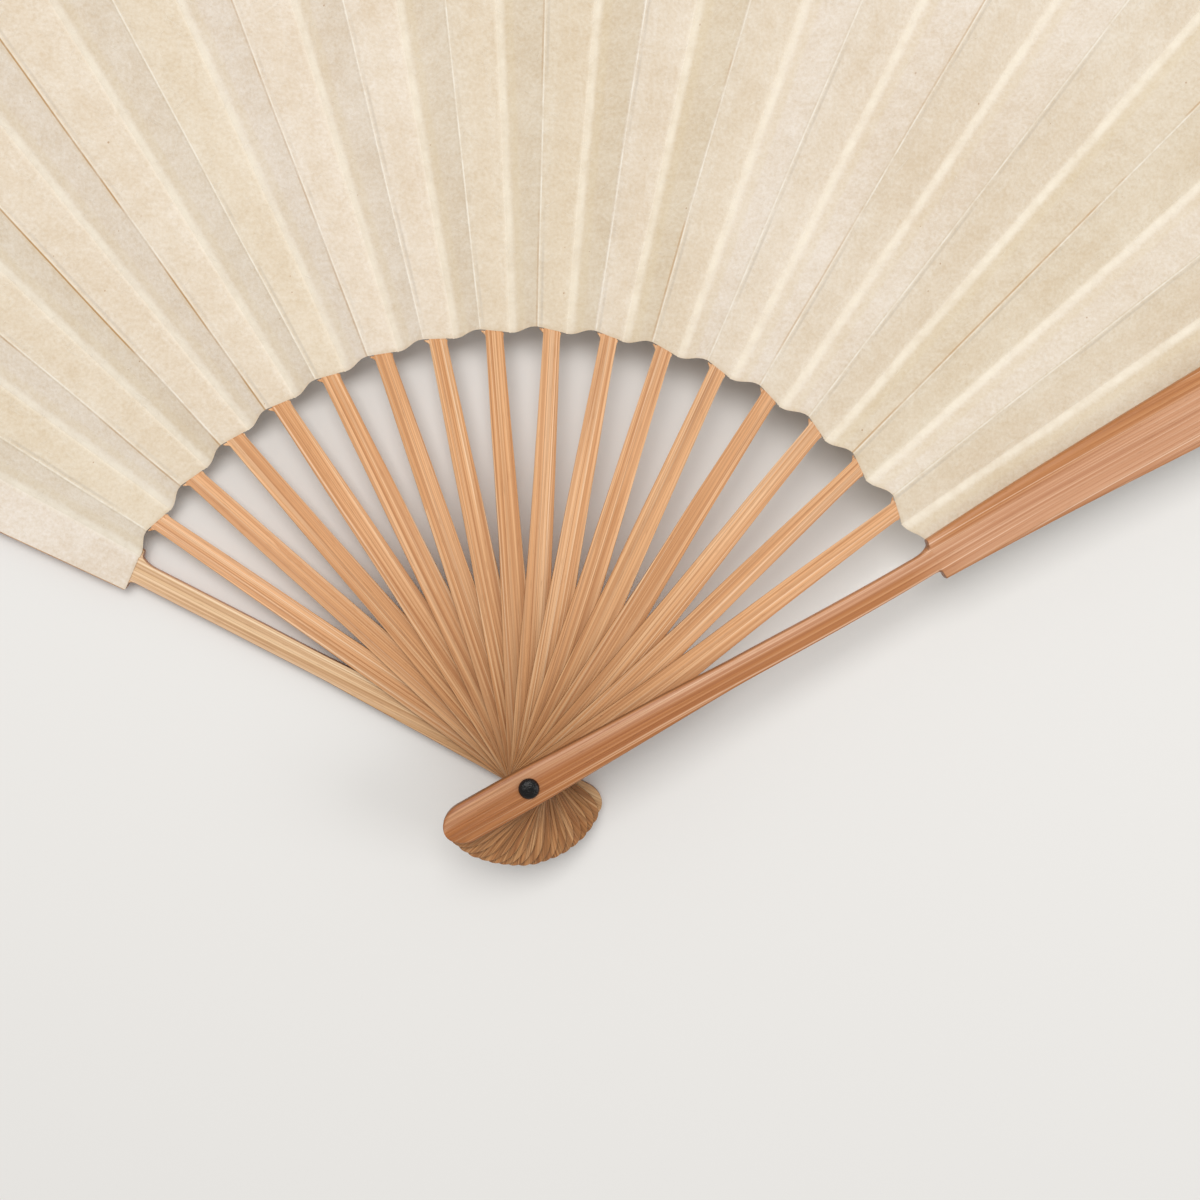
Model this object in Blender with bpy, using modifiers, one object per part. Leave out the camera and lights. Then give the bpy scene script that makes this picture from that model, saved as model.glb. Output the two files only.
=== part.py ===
"""Folding fan: sixteen bamboo ribs between two bamboo guards, a pleated paper leaf and one rivet.

Frame, in metres: the origin is the middle of the rivet's flat rear face. +X runs across the open fan,
+Y from the rivet to the middle of the leaf, and +Z from the back guard up to the front guard.
Every stick and every panel of the leaf turns about the rivet, so each has its origin on that axis.
"""

from math import cos, pi, radians, sin

import bmesh
import bpy

# Fan as a whole
RIB_COUNT = 16
OPEN_ANGLE = radians(123.0)
FOLD_SLACK = radians(0.38)

# Facets
ROUND_SIDES = 24
ARC_STEPS = 4
WELD_DISTANCE = 0.00001

# Rivet
RIVET_SHAFT_RADIUS = 0.0015
RIVET_HOLE_CLEARANCE = 0.00007
RIVET_HEAD_RADIUS = 0.0025
RIVET_FRONT_HEIGHT = 0.0013
RIVET_REAR_HEIGHT = 0.0009
RIVET_REAR_FACE_RADIUS = 0.0019
RIVET_SEAT_GAP = 0.0001

# Ribs
RIB_HEAD_LENGTH = 0.0213
RIB_HEAD_WIDTH = 0.0093
RIB_HEAD_ROUNDING = 0.0072
RIB_NECK_RADIUS = 0.055
RIB_NECK_WIDTH = 0.0060
RIB_LEAF_WIDTH = 0.0046
RIB_THICKNESS = 0.0009
RIB_GAP = 0.0002
FLARE_LENGTH = 0.0012
FLARE_WIDTH = 0.0004
TONGUE_STEP_LENGTH = 0.0003
TONGUE_ROOT_WIDTH = 0.0044
TONGUE_TIP_WIDTH = 0.0026
TONGUE_THICKNESS = 0.00024
TONGUE_TIP_SETBACK = 0.012

# Guards
GUARD_HEAD_LENGTH = 0.0226
GUARD_HEAD_WIDTH = 0.0096
GUARD_NECK_RADIUS = 0.055
GUARD_NECK_WIDTH = 0.0063
GUARD_SHOULDER_WIDTH = 0.0104
GUARD_TIP_WIDTH = 0.0260
GUARD_TIP_OVERHANG = 0.003
GUARD_TIP_ROUNDING = 0.004
GUARD_THICKNESS = 0.0026
CROWN_WIDTH = 0.0011
CROWN_DROP = 0.0007
COVE_RADIUS = 0.0012
SHOULDER_SETBACK = 0.0030
SHOULDER_SLANT = 0.0003

# Leaf
LEAF_INNER_RADIUS = 0.109
LEAF_OUTER_RADIUS = 0.295
SHEET_THICKNESS = 0.00009
LEAF_GAP = 0.00005
POCKET_GAP = 0.00004
POCKET_SIDE_GAP = 0.0003
LEAF_EDGE_GAP = 0.0003
POCKET_OVERRUN = 0.002
PANEL_INSET = 0.0003

# Where the sticks leave the flat stack at the rivet and where they reach the closer stack of the leaf
FLAT_LENGTH = 0.014
BEND_SETBACK = 0.004
LEAF_STICK_GAP = 0.00033

# Angles worked out from the opening
STEP_COUNT = 2 * (RIB_COUNT + 1)
STEP_ANGLE = OPEN_ANGLE / STEP_COUNT
PANEL_ANGLE = STEP_ANGLE + FOLD_SLACK
BACK_GUARD_AZIMUTH = pi / 2 + OPEN_ANGLE / 2
FRONT_GUARD_AZIMUTH = BACK_GUARD_AZIMUTH - OPEN_ANGLE

# Heights worked out from the stack at the rivet
RIB_PITCH = RIB_THICKNESS + RIB_GAP
BACK_GUARD_INNER_Z = RIVET_REAR_HEIGHT + RIVET_SEAT_GAP + GUARD_THICKNESS
FIRST_RIB_PIVOT_Z = BACK_GUARD_INNER_Z + RIB_GAP + RIB_THICKNESS / 2
FRONT_GUARD_PIVOT_Z = BACK_GUARD_INNER_Z + RIB_GAP + RIB_COUNT * RIB_PITCH
RIVET_FRONT_SEAT_Z = FRONT_GUARD_PIVOT_Z + GUARD_THICKNESS + RIVET_SEAT_GAP

# Heights worked out from the stack in the leaf
PLEAT_THICKNESS = 2 * SHEET_THICKNESS
POCKET_THICKNESS = TONGUE_THICKNESS + 2 * POCKET_GAP
RIB_PANEL_THICKNESS = POCKET_THICKNESS + 2 * SHEET_THICKNESS
PLEAT_PITCH = PLEAT_THICKNESS + LEAF_GAP
LEAF_PITCH = RIB_PANEL_THICKNESS + LEAF_GAP + PLEAT_PITCH
RIB_LEAF_THICKNESS = LEAF_PITCH - LEAF_STICK_GAP
BACK_PANEL_Z = BACK_GUARD_INNER_Z + LEAF_GAP + PLEAT_THICKNESS / 2
FIRST_PLEAT_Z = BACK_PANEL_Z + PLEAT_PITCH
FIRST_RIB_LEAF_Z = FIRST_PLEAT_Z + PLEAT_THICKNESS / 2 + LEAF_GAP + RIB_PANEL_THICKNESS / 2
LAST_PLEAT_Z = FIRST_PLEAT_Z + RIB_COUNT * LEAF_PITCH
FRONT_PANEL_Z = LAST_PLEAT_Z + PLEAT_PITCH
FRONT_GUARD_LEAF_Z = FRONT_PANEL_Z + PLEAT_THICKNESS / 2 + LEAF_GAP

# Places along a stick worked out from the leaf
BEND_END = LEAF_INNER_RADIUS - BEND_SETBACK
TONGUE_ROOT = LEAF_INNER_RADIUS * cos(PANEL_ANGLE / 2) - LEAF_EDGE_GAP
TONGUE_TIP = LEAF_OUTER_RADIUS - TONGUE_TIP_SETBACK
GUARD_SHOULDER = LEAF_INNER_RADIUS + SHOULDER_SETBACK
GUARD_TIP = LEAF_OUTER_RADIUS + GUARD_TIP_OVERHANG


def clear_scene():
    for obj in list(bpy.data.objects):
        bpy.data.objects.remove(obj)


def make_collection(name):
    collection = bpy.data.collections.new(name)
    bpy.context.scene.collection.children.link(collection)
    return collection


def make_material(name, colour, roughness):
    material = bpy.data.materials.new(name)
    material.use_nodes = True
    shader = material.node_tree.nodes["Principled BSDF"]
    shader.inputs["Base Color"].default_value = (*colour, 1.0)
    shader.inputs["Roughness"].default_value = roughness
    shader.inputs["Metallic"].default_value = 0.0
    return material


def quarter_turn(first=0):
    """Angles from step number first of a quarter turn to its end, in ARC_STEPS equal steps."""
    return [step * pi / 2 / ARC_STEPS for step in range(first, ARC_STEPS + 1)]


def interpolate(place, points):
    """Value at a place along straight lines between (place, value) points in rising order."""
    if place <= points[0][0]:
        return points[0][1]
    for (start, first), (end, last) in zip(points, points[1:]):
        if place <= end:
            return first + (last - first) * (place - start) / (end - start)
    return points[-1][1]


def stick_height(place, pivot_z, leaf_z):
    """Height of a stick's layer: flat round the rivet, then sloping to its level in the leaf."""
    return interpolate(place, [(FLAT_LENGTH, pivot_z), (BEND_END, leaf_z)])


def stations(outline):
    """Places along a stick that need a section: the outline's own points and both ends of the bend."""
    return sorted({place for place, _ in outline} | {FLAT_LENGTH, BEND_END})


def loft(name, sections):
    """Solid through rings of (y, z) points, one ring for each (place along X, ring) section."""
    mesh = bpy.data.meshes.new(name)
    shape = bmesh.new()
    rings = [[shape.verts.new((place, y, z)) for y, z in ring] for place, ring in sections]
    for ring, following in zip(rings, rings[1:]):
        for corner in range(len(ring)):
            after = (corner + 1) % len(ring)
            shape.faces.new((ring[corner], ring[after], following[after], following[corner]))
    shape.faces.new(rings[0])
    shape.faces.new(rings[-1])
    bmesh.ops.recalc_face_normals(shape, faces=shape.faces)
    shape.to_mesh(mesh)
    shape.free()
    return mesh


def flat_plate(name, outline, thickness):
    """Flat plate about Z = 0 with a straight-sided outline, as a welded mesh."""
    curve = bpy.data.curves.new(name, "CURVE")
    curve.dimensions = "2D"
    curve.fill_mode = "BOTH"
    curve.extrude = thickness / 2
    spline = curve.splines.new("POLY")
    spline.points.add(len(outline) - 1)
    for point, (x, y) in zip(spline.points, outline):
        point.co = (x, y, 0.0, 1.0)
    spline.use_cyclic_u = True
    guide = bpy.data.objects.new(name + "_outline", curve)
    bpy.context.scene.collection.objects.link(guide)
    evaluated = guide.evaluated_get(bpy.context.evaluated_depsgraph_get())
    mesh = bpy.data.meshes.new_from_object(evaluated)
    bpy.data.objects.remove(guide)
    shape = bmesh.new()
    shape.from_mesh(mesh)
    bmesh.ops.remove_doubles(shape, verts=shape.verts, dist=WELD_DISTANCE)
    bmesh.ops.recalc_face_normals(shape, faces=shape.faces)
    shape.to_mesh(mesh)
    shape.free()
    return mesh


def place_part(name, mesh, material, azimuth, height, collection, pivot):
    """A part with its origin on the rivet's axis, at a height and turned to its azimuth."""
    part = bpy.data.objects.new(name, mesh)
    if not mesh.materials:
        mesh.materials.append(material)
    part.location = (0.0, 0.0, height)
    part.rotation_euler = (0.0, 0.0, azimuth)
    part.parent = pivot
    collection.objects.link(part)
    return part


def make_cutter(name, mesh, collection):
    cutter = bpy.data.objects.new(name, mesh)
    cutter.hide_render = True
    cutter.display_type = "WIRE"
    collection.objects.link(cutter)
    return cutter


def cut(part, cutter):
    modifier = part.modifiers.new("cut_" + cutter.name, "BOOLEAN")
    modifier.operation = "DIFFERENCE"
    modifier.solver = "EXACT"
    modifier.object = cutter


def rivet_hole_cutter(collection):
    """Cylinder on the rivet's axis that goes through the whole stack."""
    mesh = bpy.data.meshes.new("rivet_hole_cutter")
    shape = bmesh.new()
    radius = RIVET_SHAFT_RADIUS + RIVET_HOLE_CLEARANCE
    depth = RIVET_FRONT_SEAT_Z + RIVET_FRONT_HEIGHT
    bmesh.ops.create_cone(shape, cap_ends=True, segments=ROUND_SIDES, radius1=radius, radius2=radius,
                          depth=depth)
    bmesh.ops.translate(shape, vec=(0.0, 0.0, depth / 2), verts=shape.verts)
    shape.to_mesh(mesh)
    shape.free()
    return make_cutter("rivet_hole_cutter", mesh, collection)


def rivet_profile():
    """Half profile of the rivet at +X, from the top of its dome down to its flat rear face."""
    dome = [
        (RIVET_HEAD_RADIUS * sin(angle), RIVET_FRONT_SEAT_Z + RIVET_FRONT_HEIGHT * cos(angle))
        for angle in quarter_turn()
    ]
    shaft = [
        (RIVET_SHAFT_RADIUS, RIVET_FRONT_SEAT_Z),
        (RIVET_SHAFT_RADIUS, RIVET_REAR_HEIGHT),
    ]
    rear = [
        (RIVET_HEAD_RADIUS, RIVET_REAR_HEIGHT),
        (RIVET_REAR_FACE_RADIUS, 0.0),
        (0.0, 0.0),
    ]
    return dome + shaft + rear


def make_rivet(collection, material, pivot):
    mesh = bpy.data.meshes.new("rivet")
    profile = rivet_profile()
    edges = [(point, point + 1) for point in range(len(profile) - 1)]
    mesh.from_pydata([(x, 0.0, z) for x, z in profile], edges, [])
    rivet = place_part("rivet", mesh, material, BACK_GUARD_AZIMUTH, 0.0, collection, pivot)
    screw = rivet.modifiers.new("turned", "SCREW")
    screw.axis = "Z"
    screw.steps = ROUND_SIDES
    screw.render_steps = ROUND_SIDES
    screw.use_merge_vertices = True
    screw.merge_threshold = WELD_DISTANCE
    screw.use_smooth_shade = True
    return rivet


def bar_ring(half_width, middle_z, half_height):
    """Rectangular section, as (y, z) corners."""
    return [
        (-half_width, middle_z - half_height),
        (half_width, middle_z - half_height),
        (half_width, middle_z + half_height),
        (-half_width, middle_z + half_height),
    ]


def rib_outline():
    """(place along the rib, half width) from its rounded head to the tip of its tongue."""
    head_half = RIB_HEAD_WIDTH / 2
    head = [
        (-RIB_HEAD_LENGTH + RIB_HEAD_ROUNDING * (1.0 - cos(angle)), head_half * sin(angle))
        for angle in quarter_turn(first=1)
    ]
    neck = [
        (0.0, head_half),
        (RIB_NECK_RADIUS, RIB_NECK_WIDTH / 2),
        (BEND_END, RIB_LEAF_WIDTH / 2),
        (TONGUE_ROOT - FLARE_LENGTH, RIB_LEAF_WIDTH / 2),
        (TONGUE_ROOT - TONGUE_STEP_LENGTH, (RIB_LEAF_WIDTH + FLARE_WIDTH) / 2),
    ]
    tongue = [
        (TONGUE_ROOT, TONGUE_ROOT_WIDTH / 2),
        (TONGUE_TIP, TONGUE_TIP_WIDTH / 2),
    ]
    return head + neck + tongue


def make_rib(number, collection, material, pivot, hole_cutter):
    name = f"rib_{number:02d}"
    pivot_z = FIRST_RIB_PIVOT_Z + (number - 1) * RIB_PITCH
    leaf_z = FIRST_RIB_LEAF_Z + (number - 1) * LEAF_PITCH
    outline = rib_outline()
    thicknesses = [
        (FLAT_LENGTH, RIB_THICKNESS),
        (BEND_END, RIB_LEAF_THICKNESS),
        (TONGUE_ROOT - TONGUE_STEP_LENGTH, RIB_LEAF_THICKNESS),
        (TONGUE_ROOT, TONGUE_THICKNESS),
    ]
    sections = []
    for place in stations(outline):
        half_width = interpolate(place, outline)
        half_height = interpolate(place, thicknesses) / 2
        sections.append((place, bar_ring(half_width, stick_height(place, pivot_z, leaf_z), half_height)))
    azimuth = BACK_GUARD_AZIMUTH - 2 * number * STEP_ANGLE
    rib = place_part(name, loft(name, sections), material, azimuth, 0.0, collection, pivot)
    cut(rib, hole_cutter)
    return rib


def guard_outline():
    """(place along the guard, half width) from its round head, past the coved shoulder, to its tip."""
    head_half = GUARD_HEAD_WIDTH / 2
    neck_half = GUARD_NECK_WIDTH / 2
    tip_half = GUARD_TIP_WIDTH / 2
    head = [
        (-GUARD_HEAD_LENGTH + head_half * (1.0 - cos(angle)), head_half * sin(angle))
        for angle in quarter_turn(first=1)
    ]
    neck = [
        (0.0, head_half),
        (GUARD_NECK_RADIUS, neck_half),
    ]
    cove = [
        (GUARD_SHOULDER - COVE_RADIUS * (1.0 - sin(angle)), neck_half + COVE_RADIUS * (1.0 - cos(angle)))
        for angle in quarter_turn()
    ]
    corner_x = GUARD_TIP - GUARD_TIP_ROUNDING
    corner_half = tip_half - GUARD_TIP_ROUNDING
    tip = [(GUARD_SHOULDER + SHOULDER_SLANT, GUARD_SHOULDER_WIDTH / 2)] + [
        (corner_x + GUARD_TIP_ROUNDING * sin(angle), corner_half + GUARD_TIP_ROUNDING * cos(angle))
        for angle in quarter_turn()
    ]
    return head + neck + cove + tip


def guard_ring(half, inner_z, outward):
    """Section of a guard: flat inside, crowned outside by a slope down to each side."""
    side_z = inner_z + outward * (GUARD_THICKNESS - CROWN_DROP)
    outer_z = inner_z + outward * GUARD_THICKNESS
    return [
        (-half, inner_z),
        (half, inner_z),
        (half, side_z),
        (half - CROWN_WIDTH, outer_z),
        (-half + CROWN_WIDTH, outer_z),
        (-half, side_z),
    ]


def make_guard(name, azimuth, pivot_z, leaf_z, outward, collection, material, pivot, hole_cutter):
    outline = guard_outline()
    sections = [
        (place, guard_ring(interpolate(place, outline), stick_height(place, pivot_z, leaf_z), outward))
        for place in stations(outline)
    ]
    guard = place_part(name, loft(name, sections), material, azimuth, 0.0, collection, pivot)
    cut(guard, hole_cutter)
    return guard


def fold_corner(radius, side):
    """Corner of a panel on its fold, on the side of the stick's line given by +1 or -1."""
    return radius * cos(PANEL_ANGLE / 2), side * radius * sin(PANEL_ANGLE / 2)


def free_panel_outline():
    return [
        fold_corner(LEAF_INNER_RADIUS, -1),
        fold_corner(LEAF_OUTER_RADIUS, -1),
        fold_corner(LEAF_OUTER_RADIUS, 1),
        fold_corner(LEAF_INNER_RADIUS, 1),
    ]


def guard_panel_outline(outer_side):
    """Panel glued to a guard: its fold on one side, and on the other the guard's own edge."""
    sides = [
        (GUARD_SHOULDER + SHOULDER_SLANT, GUARD_SHOULDER_WIDTH / 2),
        (GUARD_TIP - GUARD_TIP_ROUNDING, GUARD_TIP_WIDTH / 2),
    ]
    outer_corners = [
        (radius * cos(PANEL_ANGLE / 2), outer_side * (interpolate(radius, sides) - PANEL_INSET))
        for radius in (LEAF_OUTER_RADIUS, LEAF_INNER_RADIUS)
    ]
    fold_corners = [fold_corner(radius, -outer_side) for radius in (LEAF_INNER_RADIUS, LEAF_OUTER_RADIUS)]
    return fold_corners + outer_corners


def rib_panel_mesh():
    """Panel of two sheets with a flat pocket for a rib's tongue, open at the leaf's inner edge."""
    plate = flat_plate("leaf_rib_panel", free_panel_outline(), RIB_PANEL_THICKNESS)
    root_ring = bar_ring(TONGUE_ROOT_WIDTH / 2 + POCKET_SIDE_GAP, 0.0, POCKET_THICKNESS / 2)
    tip_ring = bar_ring(TONGUE_TIP_WIDTH / 2 + POCKET_SIDE_GAP, 0.0, POCKET_THICKNESS / 2)
    sections = [(TONGUE_ROOT - POCKET_OVERRUN, root_ring), (TONGUE_TIP + POCKET_SIDE_GAP, tip_ring)]
    scene_objects = bpy.context.scene.collection.objects
    panel = bpy.data.objects.new("leaf_rib_panel", plate)
    pocket = bpy.data.objects.new("pocket", loft("pocket", sections))
    scene_objects.link(panel)
    scene_objects.link(pocket)
    cut(panel, pocket)
    evaluated = panel.evaluated_get(bpy.context.evaluated_depsgraph_get())
    mesh = bpy.data.meshes.new_from_object(evaluated)
    bpy.data.objects.remove(panel)
    bpy.data.objects.remove(pocket)
    return mesh


def make_guard_panel(name, outer_side, azimuth, height, collection, material, pivot):
    plate = flat_plate(name, guard_panel_outline(outer_side), PLEAT_THICKNESS)
    return place_part(name, plate, material, azimuth, height, collection, pivot)


def make_leaf(collection, material, pivot):
    """Thirty-five panels: one glued to each guard, one round each rib, and the pleats between them."""
    rib_panel = rib_panel_mesh()
    pleat = flat_plate("leaf_pleat", free_panel_outline(), PLEAT_THICKNESS)
    for number in range(1, RIB_COUNT + 1):
        azimuth = BACK_GUARD_AZIMUTH - 2 * number * STEP_ANGLE
        height = FIRST_RIB_LEAF_Z + (number - 1) * LEAF_PITCH
        place_part(f"leaf_rib_panel_{number:02d}", rib_panel, material, azimuth, height, collection, pivot)
    for number in range(1, RIB_COUNT + 2):
        azimuth = BACK_GUARD_AZIMUTH - (2 * number - 1) * STEP_ANGLE
        height = FIRST_PLEAT_Z + (number - 1) * LEAF_PITCH
        place_part(f"leaf_pleat_{number:02d}", pleat, material, azimuth, height, collection, pivot)
    make_guard_panel("leaf_back_panel", 1, BACK_GUARD_AZIMUTH, BACK_PANEL_Z, collection, material, pivot)
    make_guard_panel("leaf_front_panel", -1, FRONT_GUARD_AZIMUTH, FRONT_PANEL_Z, collection, material, pivot)


def main():
    clear_scene()
    fan = make_collection("folding_fan")
    cutters = make_collection("cutters")
    guard_bamboo = make_material("guard_bamboo", (0.58, 0.27, 0.13), 0.42)
    rib_bamboo = make_material("rib_bamboo", (0.66, 0.36, 0.17), 0.50)
    leaf_paper = make_material("leaf_paper", (0.76, 0.66, 0.50), 0.90)
    black_horn = make_material("black_horn", (0.012, 0.011, 0.012), 0.16)

    pivot = bpy.data.objects.new("pivot_axis", None)
    fan.objects.link(pivot)
    hole_cutter = rivet_hole_cutter(cutters)

    make_rivet(fan, black_horn, pivot)
    make_guard("back_guard", BACK_GUARD_AZIMUTH, BACK_GUARD_INNER_Z, BACK_GUARD_INNER_Z, -1,
               fan, guard_bamboo, pivot, hole_cutter)
    make_guard("front_guard", FRONT_GUARD_AZIMUTH, FRONT_GUARD_PIVOT_Z, FRONT_GUARD_LEAF_Z, 1,
               fan, guard_bamboo, pivot, hole_cutter)
    for number in range(1, RIB_COUNT + 1):
        make_rib(number, fan, rib_bamboo, pivot, hole_cutter)
    make_leaf(fan, leaf_paper, pivot)


main()
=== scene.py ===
"""Folding fan, dressed: bamboo sticks, a pleated paper leaf and a horn rivet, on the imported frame."""

import random
from math import atan, cos, dist, exp, hypot, pi, radians, sin, sqrt, tan

import bmesh
import bpy
import numpy as np
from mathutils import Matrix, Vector, noise


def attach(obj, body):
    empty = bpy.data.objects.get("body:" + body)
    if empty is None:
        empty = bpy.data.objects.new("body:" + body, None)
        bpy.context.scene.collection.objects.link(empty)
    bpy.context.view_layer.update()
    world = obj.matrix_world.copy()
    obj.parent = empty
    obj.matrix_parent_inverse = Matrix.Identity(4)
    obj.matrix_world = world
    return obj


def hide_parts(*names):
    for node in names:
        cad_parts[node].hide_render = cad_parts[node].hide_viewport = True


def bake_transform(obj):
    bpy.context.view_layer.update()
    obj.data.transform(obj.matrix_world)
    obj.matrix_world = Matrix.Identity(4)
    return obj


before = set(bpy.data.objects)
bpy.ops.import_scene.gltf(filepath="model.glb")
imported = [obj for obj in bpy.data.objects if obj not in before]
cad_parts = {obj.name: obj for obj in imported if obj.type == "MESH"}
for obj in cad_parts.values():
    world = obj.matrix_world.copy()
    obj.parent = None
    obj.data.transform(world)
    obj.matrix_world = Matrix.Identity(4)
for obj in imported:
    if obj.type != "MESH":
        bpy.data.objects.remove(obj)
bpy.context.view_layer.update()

# Fan as a whole, as in the CAD
RIB_COUNT = 16
OPEN_ANGLE = radians(123.0)
STEP_ANGLE = OPEN_ANGLE / (2 * (RIB_COUNT + 1))
BACK_GUARD_AZIMUTH = pi / 2 + OPEN_ANGLE / 2
HALF_PANEL = STEP_ANGLE / 2

# Heights of the layers, as in the CAD
RIVET_REAR_HEIGHT = 0.0009
BACK_GUARD_INNER_Z = 0.0036
FIRST_RIB_PIVOT_Z = 0.00425
RIB_PITCH = 0.0011
FRONT_GUARD_PIVOT_Z = 0.0214
RIVET_FRONT_SEAT_Z = 0.0241
RIVET_FRONT_HEIGHT = 0.0013
BACK_PANEL_Z = 0.00374
FIRST_RIB_LEAF_Z = 0.00436
LEAF_PITCH = 0.00078
FRONT_PANEL_Z = 0.01668
FRONT_GUARD_LEAF_Z = 0.01682

# Sizes of the rivet and the sticks
STICK_HOLE_RADIUS = 0.00157
HOLE_ROUNDS = 40
RIVET_SHAFT_RADIUS = 0.0015
RIVET_HEAD_RADIUS = 0.0025
RIVET_REAR_FACE_RADIUS = 0.0019
RIVET_RIM_HEIGHT = 0.00018
RIVET_BEVEL = 0.00008
RIVET_DENTS = 0.00005
RIB_HEAD_LENGTH = 0.0213
RIB_HEAD_HALF = 0.00465
RIB_HEAD_ROUNDING = 0.0072
RIB_HEAD_GROWTH = 0.0010
RIB_NECK_RADIUS = 0.055
RIB_NECK_HALF = 0.0030
RIB_NECK_EASING = 0.00012
RIB_LEAF_HALF = 0.0023
RIB_THICKNESS = 0.0009
RIB_LEAF_THICKNESS = 0.00038
RIB_BEVEL = 0.00012
FLARE_LENGTH = 0.0011
CREST_FLARE = 0.0011
VALLEY_FLARE = 0.0002
TONGUE_ROOT_HALF = 0.0022
TONGUE_TIP_HALF = 0.0013
TONGUE_THICKNESS = 0.00018
TONGUE_BEVEL = 0.00003
TONGUE_ROOT = 0.1089
TONGUE_TIP = 0.283
GUARD_NECK_RADIUS = 0.055
GUARD_SHOULDER_HALF = 0.0054
GUARD_TIP_HALF = 0.0130
GUARD_TIP = 0.298
GUARD_TIP_ROUNDING = 0.004
GUARD_THICKNESS = 0.0026
GUARD_BEVEL = 0.00015
GUARD_HEAD_ROUNDING = 1.25
GUARD_LEAST_HALF = 0.0001
GUARD_BOW_PLACE = 0.096
GUARD_BOW_REACH = 0.034
CROWN_WIDTH = 0.0020
CROWN_DROP = 0.0008
CROWN_MOST_SHARE = 0.45
LEAF_SIDE_COVE = (0.0042, 0.0017)
OUTER_SIDE_COVE = (0.0016, 0.0010)
SHOULDER_SLANT = 0.0003
BEND_START = 0.014
BEND_END = 0.105
TWIST_START = 0.040
HEAD_START = 0.00003
SKEW_BEFORE = 0.006
SKEW_AFTER = 0.020
RIB_SWAY = 0.00022
GUARD_SWAY = 0.00025
SIDE_WANDER = 0.00006
SHARP_ANGLE = radians(38)

# The two guards: which way they face, their heights, and half widths from the head to the throat
BACK_GUARD = {
    "name": "back_guard", "outward": -1, "azimuth": BACK_GUARD_AZIMUTH, "pivot_z": BACK_GUARD_INNER_Z,
    "leaf_z": BACK_GUARD_INNER_Z, "head_length": 0.0209, "head_half": 0.0044, "neck_half": 0.00275,
    "throat_half": 0.0027, "shoulder": 0.1074, "bow": 0.0,
}
FRONT_GUARD = {
    "name": "front_guard", "outward": 1, "azimuth": BACK_GUARD_AZIMUTH - OPEN_ANGLE,
    "pivot_z": FRONT_GUARD_PIVOT_Z, "leaf_z": FRONT_GUARD_LEAF_Z, "head_length": 0.0226, "head_half": 0.0048,
    "neck_half": 0.00315, "throat_half": 0.00285, "shoulder": 0.1121, "bow": -0.0011,
}

# Leaf
LEAF_OUTER_RADIUS = 0.295
LEAF_DEPTH = 0.186
FOLD_DEPTH = 0.0149
FOLD_LAYER = 0.00045
RIB_PANEL_THICKNESS = 0.00020
PLEAT_THICKNESS = 0.00011
CREST_LIP = 0.00036
CREST_ROUND = 0.00012
VALLEY_LIP = 0.00045
VALLEY_FALL = 0.35
VALLEY_CURVE = 975.0
MIDDLE_LIFT = 0.00002
MIDDLE_SAG = 0.000015
EMBOSSING = 0.00004
FOLD_SWAY = 0.00022
FOLD_WANDER = 0.00005
PANEL_WANDER = 0.00001
FOLD_ROUND = 0.0006
LEAF_ROWS = 56
LEAF_SHARES = np.linspace(0.0, 1.0, LEAF_ROWS)
PANEL_INSET = 0.0003
BACK_PANEL_CORNER = 0.1073
FRONT_PANEL_CORNER = 0.1131
RIB_END_GAP = 0.00025
EDGE_WAVE = 0.00023
EDGE_SHARES = (0.25, 0.5, 0.75)
EDGE_DIP = 0.00022
GUARD_PANEL_STEPS = 8
FAR_FROM_FOLDS = 0.004
STAINS = {2: 0.5, 3: 1.0, 4: 0.9, 6: 0.4, 9: 0.3, 11: 0.5, 13: 0.3, 15: 0.6}

# Places across a glued panel: beside its two folds, and over the tongue as (side, distance outside its edge)
CREST_PLACES = (CREST_LIP, CREST_LIP / 2, 0.0, -0.00025, -0.0005)
VALLEY_PLACES = (-0.0005, 0.0, 0.00011, 0.00022, 0.00033, VALLEY_LIP)
TONGUE_PLACES = ((1, 0.0005), (1, 0.0001), (1, -0.0004), (0, 0.0), (-1, -0.0004), (-1, 0.0001), (-1, 0.0005))

# Looks and floor
WOOD_PLACES = (0.30, 0.44, 0.56, 0.70)
FLOOR_REACH = 6.0
FLOOR_LEVEL = -0.00005

SEED = random.Random(41)


def smooth(t):
    t = min(max(t, 0.0), 1.0)
    return t * t * (3.0 - 2.0 * t)


def arc(t):
    """Height of a quarter circle: one at 0, nothing at 1."""
    return sqrt(max(1.0 - t * t, 0.0))


def quarter_turn(steps, first=0):
    return [pi / 2 * n / steps for n in range(first, steps + 1)]


def interpolate(place, points):
    """Value at a place along straight lines between (place, value) points in rising order."""
    if place <= points[0][0]:
        return points[0][1]
    for (start, first), (end, last) in zip(points, points[1:]):
        if place <= end:
            return first + (last - first) * (place - start) / (end - start)
    return points[-1][1]


def wander(place, lane, scale, size):
    """Slow random wander along a stick or a fold, the same every run."""
    return size * noise.noise(Vector((place / scale, lane * 7.31, 0.37)))


def rib_azimuth(number):
    return BACK_GUARD_AZIMUTH - 2 * number * STEP_ANGLE


def leaf_level(number):
    if number == 0:
        return BACK_PANEL_Z
    if number == RIB_COUNT + 1:
        return FRONT_PANEL_Z
    return FIRST_RIB_LEAF_Z + (number - 1) * LEAF_PITCH


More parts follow.
